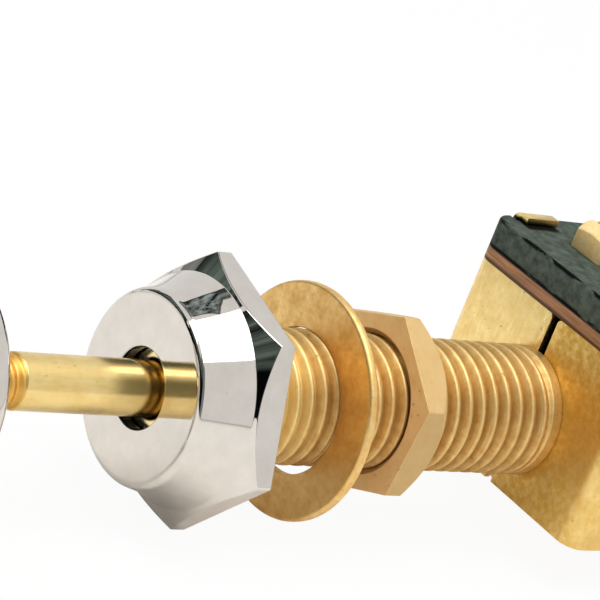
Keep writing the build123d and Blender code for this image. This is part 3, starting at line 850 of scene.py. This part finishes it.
# painted reflection: the flaps right of the seam are a deeper gold, in dull patches
flap = add(tree, "Math", {0: start, 1: stop}, operation="SUBTRACT").outputs[0]
patchy = add(tree, "MapRange", {"Value": blots(tree, place, 0.7, 0.36, 0.6, 6.0)}, {"To Min": 0.35})
painted_reflection = add(tree, "Math", {0: flap, 1: patchy.outputs[0]}, operation="MULTIPLY")
tinge(sheet_brass, painted_reflection.outputs[0], "#dbb255", 0.6)
# painted shadow: black under the tabs that hold the board
painted_shade = add(tree, "Math", {0: above, 1: clear}, operation="SUBTRACT").outputs[0]
tinge(sheet_brass, painted_shade, "#120d08")
print("dirt on the tabs, in mm above the stem's axis:", np.round(tab_shade, 2))

# %% [markdown]
# ## The case
# The case's solid has the right form, but its edges are perfectly sharp, as no real edge is. A copy of it is
# merged and given eased edges with a Bevel modifier, which catches the light along the cut sheet. Working
# each edge out with numpy would take far longer for the same look.

# %% Case and its edges
SOLID_MERGE, FLAT_ANGLE = 0.002, 0.5  # millimetres and degrees below which points and faces are one
SHARP_ANGLE = 35.0  # edges that turn by more degrees than this are eased


def eased(node, width):
    """A merged copy of a node's mesh, with its sharp edges eased by a Bevel."""
    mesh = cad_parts[node].data.copy()
    shape = bmesh.new()
    shape.from_mesh(mesh)
    bmesh.ops.remove_doubles(shape, verts=shape.verts, dist=SOLID_MERGE * MM)
    bmesh.ops.dissolve_limit(
        shape, angle_limit=np.radians(FLAT_ANGLE), verts=shape.verts, edges=shape.edges
    )
    shape.to_mesh(mesh)
    shape.free()
    mesh.shade_smooth()
    piece = bpy.data.objects.new(node + "_eased", mesh)
    bpy.context.scene.collection.objects.link(piece)
    bevel = piece.modifiers.new("eased_edges", "BEVEL")
    bevel.width = width * MM
    bevel.segments = 2
    bevel.limit_method = "ANGLE"
    bevel.angle_limit = np.radians(SHARP_ANGLE)
    bevel.harden_normals = True
    return piece


settle(eased("housing", width=0.12), sheet_brass, "case", "housing")

# %% [markdown]
# ## The insulator
# A sheet of vulcanised fibre lies on the case. Fibre is dull brown and faintly streaked, and painted shade
# lies dark along the seams above and below it. The sheet's solid only needs eased edges, as the case's did.

# %% Insulator
SEAM_SHADE = (0.06, 0.2), (0.26, 0.46)  # how far painted shade reaches into the fibre from the seams above and below

material, tree = blank("vulcanised_fibre")
place = add(tree, "TexCoord").outputs["Object"]
lay = add(tree, "VectorMath", {0: place}, {1: (0.25, 1, 3)}, operation="MULTIPLY").outputs[0]
streak = blots(tree, lay, 1.2, 0.35, 0.65)
tint = add(tree, "Mix", {0: streak}, {6: linear("#b88458"), 7: linear("#855c3c")}, data_type="RGBA")
low, high = sides("insulator_sheet")
rise = add(tree, "SeparateXYZ", {0: place}).outputs["Z"]
colour = tint.outputs[2]
# painted shade: dark along the seams above and below the fibre
for edge, way, reach, painted_shade in zip((high[2], low[2]), (-1, 1), SEAM_SHADE, ("#1a100a", "#54331a")):
    limits = {"From Min": (edge + way * reach[0]) * MM, "From Max": (edge + way * reach[1]) * MM}
    share = add(tree, "MapRange", {"Value": rise}, {**limits, "To Min": 1.0, "To Max": 0.0}).outputs[0]
    colour = add(tree, "Mix", {0: share, 6: colour}, {7: linear(painted_shade)}, data_type="RGBA").outputs[2]
bump = add(tree, "Bump", {"Height": streak}, {"Strength": 1.0, "Distance": 0.015 * MM})
links = {"Base Color": colour, "Normal": bump.outputs[0]}
body = add(tree, "BsdfPrincipled", links, {"Roughness": 0.62})
add(tree, "OutputMaterial", {"Surface": body.outputs[0]})
settle(eased("insulator_sheet", width=0.08), material, "case", "insulator_sheet")

# %% [markdown]
# ## Where the board is chipped and shaded
# The terminal board is laminated phenolic. The black along its edges is partly chips and partly painted
# shade, and round the tabs it is painted shadow. Chips could be cut into the mesh, but the photograph tells
# only their colour, so they are a share of black.
# The board is the same on both sides and at both ends, so it is folded to one quarter first. A point is near
# an edge if it is near two of the board's faces at once.

# %% Where the board is chipped and shaded
EDGE_BLACK = 0.2, 0.42  # how far the black of chips and painted shade reaches from the board's edges
EDGE_WAYS = (0, 1, 1), (1, 0, 1), (0.25, 0.25, 0)  # across edges along X, Y and Z, the last blackened widest
BLACK_STRETCH = (0.35, 1, 1)  # the black patches run along the board's front
TAB_MIDDLE = 11.0  # from the board's middle, along the case
TAB_SHADOW = (3.0, 3.5), (2.0, 2.4)  # how far painted shadow reaches round a tab, across and along the case

material, tree = blank("laminated_phenolic")
place = add(tree, "TexCoord").outputs["Object"]
low, high = sides("terminal_board")
centre, half = (low + high) / 2 * MM, (high - low) / 2 * MM
inner = add(tree, "VectorMath", {0: place}, {1: centre}, operation="SUBTRACT").outputs[0]
quarter = add(tree, "VectorMath", {0: inner}, operation="ABSOLUTE").outputs[0]
inner = add(tree, "VectorMath", {0: quarter}, {1: half}, operation="SUBTRACT").outputs[0]
reach = []
for ways in EDGE_WAYS:
    off = add(tree, "VectorMath", {0: inner}, {1: ways}, operation="MULTIPLY").outputs[0]
    reach.append(add(tree, "VectorMath", {0: off}, operation="LENGTH").outputs["Value"])
nearest = add(tree, "Math", {0: reach[0], 1: reach[1]}, operation="MINIMUM").outputs[0]
nearest = add(tree, "Math", {0: nearest, 1: reach[2]}, operation="MINIMUM").outputs[0]
limits = {"From Min": EDGE_BLACK[0] * MM, "From Max": EDGE_BLACK[1] * MM, "To Min": 1.0, "To Max": 0.0}
edge = add(tree, "MapRange", {"Value": nearest}, limits).outputs[0]
drawn = add(tree, "VectorMath", {0: place}, {1: BLACK_STRETCH}, operation="MULTIPLY").outputs[0]
patches = blots(tree, drawn, 0.9, 0.45, 0.52)
# black at the edges: chips, and painted shade
edge_black = add(tree, "Math", {0: edge, 1: patches}, operation="MULTIPLY").outputs[0]
# painted shadow: black round the tabs that hold the board
tab = (half[0], TAB_MIDDLE * MM, half[2])
off = add(tree, "VectorMath", {0: quarter}, {1: tab}, operation="SUBTRACT").outputs[0]
off = add(tree, "VectorMath", {0: off}, operation="ABSOLUTE").outputs[0]
off = add(tree, "SeparateXYZ", {0: off}).outputs
near = []
for axis, (least, most) in zip("XY", TAB_SHADOW):
    limits = {"From Min": least * MM, "From Max": most * MM, "To Min": 1.0, "To Max": 0.0}
    near.append(add(tree, "MapRange", {"Value": off[axis]}, limits).outputs[0])
shadow_round_tab = add(tree, "Math", {0: near[0], 1: near[1]}, operation="MULTIPLY").outputs[0]
black = add(tree, "Math", {0: edge_black, 1: shadow_round_tab}, operation="MAXIMUM").outputs[0]
print("board in mm:", np.round(high - low, 2))

# %% [markdown]
# ## The terminal board
# The board's paper layers give it a clouded grey-green body with hardly any gloss, so the shader's own
# specular level is low. The black of the chips and the painted shade goes over the clouds.

# %% Terminal board
cloud = blots(tree, place, 0.9, 0.35, 0.68, 5.0)
tint = add(tree, "Mix", {0: cloud}, {6: linear("#5a645a"), 7: linear("#38413c")}, data_type="RGBA")
colour = add(tree, "Mix", {0: black, 6: tint.outputs[2]}, {7: linear("#030504")}, data_type="RGBA")
bump = add(tree, "Bump", {"Height": cloud}, {"Strength": 1.0, "Distance": 0.015 * MM})
links = {"Base Color": colour.outputs[2], "Normal": bump.outputs[0]}
body = add(tree, "BsdfPrincipled", links, {"Roughness": 0.6, "Specular IOR Level": 0.05})
add(tree, "OutputMaterial", {"Surface": body.outputs[0]})
settle(eased("terminal_board", width=0.1), material, "case", "terminal_board")

# %% [markdown]
# ## Terminal screws
# Each screw has a slotted hexagon head, turned from brass and tumbled, so it is pale and matt. Its solid
# has the slot and the turned corners, so it is only eased.

# %% Terminal screws
screw_brass = brass(
    "tumbled_brass_screw", "#fbecc0", "#efd190", "#94703a",
    gloss=(0.74, 0.88), cloud=1.4, mark=0.3, ways=(1, 1, 1), depth=0.003,
)
for screw in ("terminal_screw_left", "terminal_screw_right"):
    settle(eased(screw, width=0.22), screw_brass, "case", screw)

# %% [markdown]
# ## Hidden pieces
# The contacts, their carrier, spring and clips are sealed in the case. Finer meshes could replace their
# solids, but nobody sees them, so the solids stay. Each gets a plain finish for anyone who takes the case
# off: nearly black moulded phenolic, pinkish copper, grey spring steel, brown fibre, and brass for the studs.

# %% Hidden pieces


def dusted(name, light, dark, roughness, metallic, cloud):
    """A finish of two close colours in soft clouds of a size in millimetres."""
    material, tree = blank(name)
    place = add(tree, "TexCoord").outputs["Object"]
    noise = add(tree, "TexNoise", {"Vector": place}, {"Scale": per(cloud), "Detail": 4.0}).outputs[0]
    tint = add(tree, "Mix", {0: noise}, {6: linear(light), 7: linear(dark)}, data_type="RGBA")
    bump = add(tree, "Bump", {"Height": noise}, {"Strength": 1.0, "Distance": 0.01 * MM})
    body = add(
        tree, "BsdfPrincipled", {"Base Color": tint.outputs[2], "Normal": bump.outputs[0]},
        {"Roughness": roughness, "Metallic": metallic},
    )
    add(tree, "OutputMaterial", {"Surface": body.outputs[0]})
    return material


turned_brass = brass(
    "turned_brass_bar", "#eecb84", "#d6a656", "#7a5424",
    gloss=(0.26, 0.4), cloud=1.6, mark=0.22, ways=TURNED, depth=0.005,
)
hidden = {
    "contact_carrier": dusted(
        "moulded_phenolic", "#2b2522", "#191513", roughness=0.45, metallic=0.0, cloud=1.5
    ),
    "contact_bridge": dusted("rolled_copper", "#d98d66", "#b86a45", roughness=0.32, metallic=1.0, cloud=0.8),
    "bridge_spring": dusted("spring_steel", "#a9a9ab", "#868789", roughness=0.3, metallic=1.0, cloud=0.6),
    "buffer_washer": dusted("punched_fibre", "#a0714a", "#7a5335", roughness=0.62, metallic=0.0, cloud=0.8),
}
hidden["carrier_clip_front"] = hidden["carrier_clip_rear"] = hidden["bridge_spring"]
hidden["contact_stud_left"] = hidden["contact_stud_right"] = turned_brass
for node, material in hidden.items():
    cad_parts[node].data.materials.clear()
    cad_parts[node].data.materials.append(material)
print("hidden pieces:", len(hidden))
